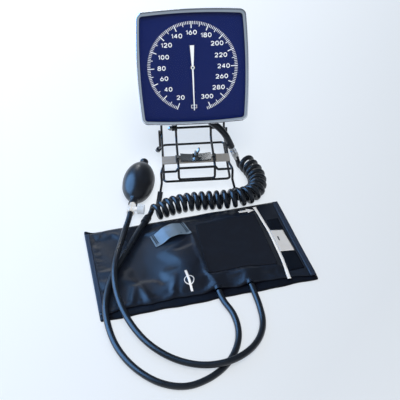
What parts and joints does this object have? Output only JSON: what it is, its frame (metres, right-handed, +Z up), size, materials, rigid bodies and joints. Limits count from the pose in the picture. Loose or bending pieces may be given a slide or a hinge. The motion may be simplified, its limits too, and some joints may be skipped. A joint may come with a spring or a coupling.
{
  "type": "desk sphygmomanometer",
  "caption": "Desk aneroid sphygmomanometer: square dial head on a tilting bent-wire stand, with coiled hose, arm cuff, hoses, bulb and release valve",
  "frame": {"origin": "on the table, under the middle of the whole set without its hoses", "axes": "+X right, +Y to the back, +Z up; the dial faces -Y"},
  "size_m": [0.2918, 0.4519, 0.2452],
  "materials": {
    "bezel_chrome": "bright, lightly brushed",
    "case_plastic": "fine texture",
    "dial_blue": "satin, printed in white",
    "clear_lens": "clear",
    "white_paint": "satin",
    "movement_brass": "plain",
    "plain_steel": "plain",
    "bright_metal": "polished",
    "black_wire": "gloss black",
    "black_rubber": "matt",
    "black_hose": "smooth, slightly shiny",
    "bulb_rubber": "smooth, slightly shiny",
    "black_nylon": "coated weave, slight sheen",
    "hem_tape": "woven tape",
    "black_pile": "matt loop pile",
    "black_hook": "matt hook tape",
    "white_label": "smooth tag",
    "grey_tape": "woven tape"
  },
  "bodies": {
    "base": {"outer_frame": "black_wire", "base_ring": "black_wire", "rear_legs": "black_wire", "front_rim": "black_wire", "rubber_feet": "black_rubber", "cross_strip": "plain_steel", "hanger": "black_wire", "tilt_rod": "plain_steel", "rod_nuts": "bright_metal", "clamp_strap": "bright_metal", "clamp_bolt": "plain_steel", "clamp_washer": "plain_steel", "head_hose": "black_hose", "connector_socket": "bright_metal", "connector_plug": "bright_metal", "coil_hose": "black_hose", "tail_sleeve": "black_hose", "tail_hose": "black_hose", "bulb": "bulb_rubber", "inlet_valve": "black_rubber", "release_valve": "bright_metal", "bulb_hose": "black_hose", "cuff_cloth": "black_nylon", "bladder": "black_rubber", "cuff_hem": "hem_tape", "loop_panel": "black_pile", "hook_strip": "black_hook", "size_tag": "white_label", "hanging_tape": "grey_tape"},
    "head": {"rear_case": "case_plastic", "bezel": "bezel_chrome", "dial_plate": "dial_blue", "dial_lens": "clear_lens", "lens_gasket": "black_rubber", "inlet_fitting": "bright_metal", "movement_front_plate": "movement_brass", "movement_back_plate": "movement_brass", "movement_pillars": "movement_brass", "movement_screws": "plain_steel", "capsule": "movement_brass", "hairspring": "plain_steel", "yoke": "black_wire", "yoke_clips": "plain_steel", "clip_screws": "plain_steel"},
    "pointer": {"pointer": "white_paint", "pointer_arbor": "movement_brass"},
    "sector": {"sector_gear": "movement_brass"},
    "rocker": {"rocker": "plain_steel"},
    "capsule_top": {"capsule_boss": "movement_brass"},
    "wing_nut": {"wing_nut": "bright_metal"},
    "release_screw": {"release_screw": "bright_metal"},
    "inlet_ball": {"inlet_ball": "plain_steel"},
    "lock_ring": {"connector_ring": "bright_metal"}
  },
  "joints": [
    {"name": "head_tilt", "type": "hinge", "parent": "base", "child": "head", "pos_m": [0.0094, 0.1289, 0.066], "axis": [1, 0, 0], "range_deg": [-12, 15], "deforming": ["head_hose"]},
    {"name": "sector_turn", "type": "hinge", "parent": "head", "child": "sector", "pos_m": [0.0094, 0.10249, 0.14546], "axis": [0, -0.9397, 0.342], "range_deg": [0, 33.75]},
    {"name": "pointer_turn", "type": "hinge", "parent": "head", "child": "pointer", "pos_m": [0.0094, 0.1119, 0.1713], "axis": [0, -0.9397, 0.342], "range_deg": [-337.5, 0], "deforming": ["hairspring"]},
    {"name": "rocker_turn", "type": "hinge", "parent": "head", "child": "rocker", "pos_m": [0.00755, 0.11585, 0.13245], "axis": [0, 0.342, 0.9397], "range_deg": [0, 25.56]},
    {"name": "capsule_lift", "type": "slide", "parent": "head", "child": "capsule_top", "axis": [0, -0.9397, 0.342], "range_m": [0, 0.00265]},
    {"name": "wing_nut_turn", "type": "hinge", "parent": "base", "child": "wing_nut", "pos_m": [0.0094, 0.0799, 0.0484], "axis": [0, 0, 1], "range_deg": [0, 720]},
    {"name": "release_screw_turn", "type": "hinge", "parent": "base", "child": "release_screw", "pos_m": [-0.0826, 0.00801, 0.01898], "axis": [0.9833, -0.1822, 0], "range_deg": [0, 540]},
    {"name": "inlet_ball_lift", "type": "slide", "parent": "base", "child": "inlet_ball", "axis": [-0.1819, -0.9814, -0.0611], "range_m": [0, 0.0008]},
    {"name": "lock_ring_turn", "type": "hinge", "parent": "base", "child": "lock_ring", "pos_m": [0.0638, 0.1121, 0.039], "axis": [0.3663, -0.1047, -0.9246], "range_deg": [0, 180]}
  ],
  "couplings": [
    {"joint": "pointer_turn", "follows": "sector_turn", "ratio": -10},
    {"joint": "rocker_turn", "follows": "sector_turn", "ratio": 0.75721},
    {"joint": "capsule_lift", "follows": "sector_turn", "m_per_rad": 0.0045057}
  ]
}
